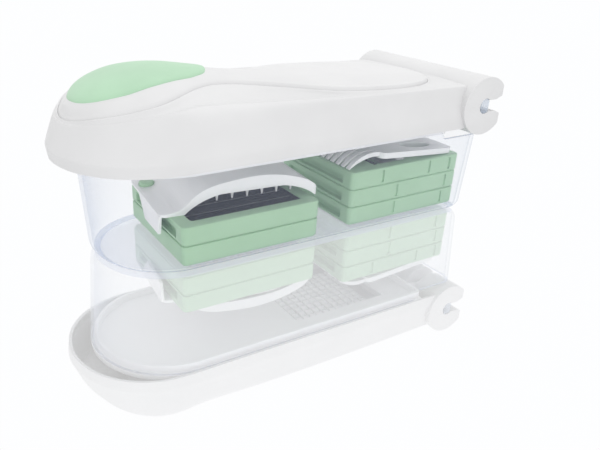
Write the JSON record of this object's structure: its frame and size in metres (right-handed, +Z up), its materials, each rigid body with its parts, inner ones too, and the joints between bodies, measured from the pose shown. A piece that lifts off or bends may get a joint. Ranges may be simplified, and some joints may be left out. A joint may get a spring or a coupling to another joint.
{
  "type": "lever vegetable slicer",
  "caption": "Lever-lid vegetable slicer on a clear storage box, with stored dicing, wedge and mandoline inserts, a food guard and a cleaning comb.",
  "frame": {"origin": "middle of the object's footprint, on the surface it stands on", "axes": "+X towards the hinge, -X towards the lid's nose, -Y the front, +Z up"},
  "size_m": [0.291, 0.116, 0.1143],
  "materials": {
    "clear_plastic": "clear bluish gloss plastic",
    "axle_plastic": "clear bluish gloss plastic",
    "lid_plastic": "white satin gloss",
    "white_plastic": "white gloss",
    "green_plastic": "pale green satin",
    "cap_plastic": "pale green satin",
    "soft_grip": "pale green soft touch",
    "blade_steel": "ground stainless steel",
    "screw_steel": "plain stainless steel"
  },
  "bodies": {
    "box": {"container": "clear_plastic"},
    "frame": {"cutting_frame": "white_plastic", "hinge_axle": "axle_plastic"},
    "lid": {"lid_shell": "lid_plastic", "hinge_barrel": "lid_plastic", "handle_cover": "lid_plastic", "grip_pad": "soft_grip", "cover_screws": "screw_steel", "pusher_block": "white_plastic"},
    "dicer_large": {"dicer_large_frame": "green_plastic", "dicer_large_blades": "blade_steel"},
    "dicer_fine": {"dicer_fine_frame": "green_plastic", "dicer_fine_blades": "blade_steel"},
    "guard": {"guard_shell": "white_plastic", "guard_spikes": "white_plastic", "guard_cap": "cap_plastic"},
    "wedge": {"wedge_frame": "green_plastic", "wedge_blades": "blade_steel"},
    "dicer_small": {"dicer_small_frame": "green_plastic", "dicer_small_blades": "blade_steel"},
    "slicer": {"slicer_frame": "green_plastic", "slicer_blade": "blade_steel"},
    "comb": {"cleaning_comb": "white_plastic"}
  },
  "joints": [
    {"name": "top_lift", "type": "slide", "parent": "box", "child": "frame", "axis": [0, 0, 1], "range_m": [0, 0.12]},
    {"name": "lid_hinge", "type": "hinge", "parent": "frame", "child": "lid", "pos_m": [0.1309, 0, 0.0788], "axis": [0, 1, 0], "range_deg": [0, 100]},
    {"name": "dicer_large_lift", "type": "slide", "parent": "box", "child": "dicer_large", "axis": [0, 0, 1], "range_m": [0, 0.01]},
    {"name": "dicer_fine_lift", "type": "slide", "parent": "dicer_large", "child": "dicer_fine", "axis": [0, 0, 1], "range_m": [0, 0.01]},
    {"name": "guard_lift", "type": "slide", "parent": "dicer_fine", "child": "guard", "axis": [0, 0, 1], "range_m": [0, 0.012]},
    {"name": "wedge_lift", "type": "slide", "parent": "box", "child": "wedge", "axis": [0, 0, 1], "range_m": [0, 0.008]},
    {"name": "dicer_small_lift", "type": "slide", "parent": "wedge", "child": "dicer_small", "axis": [0, 0, 1], "range_m": [0, 0.008]},
    {"name": "slicer_lift", "type": "slide", "parent": "dicer_small", "child": "slicer", "axis": [0, 0, 1], "range_m": [0, 0.008]},
    {"name": "comb_lift", "type": "slide", "parent": "slicer", "child": "comb", "axis": [0, 0, 1], "range_m": [0, 0.008]}
  ]
}
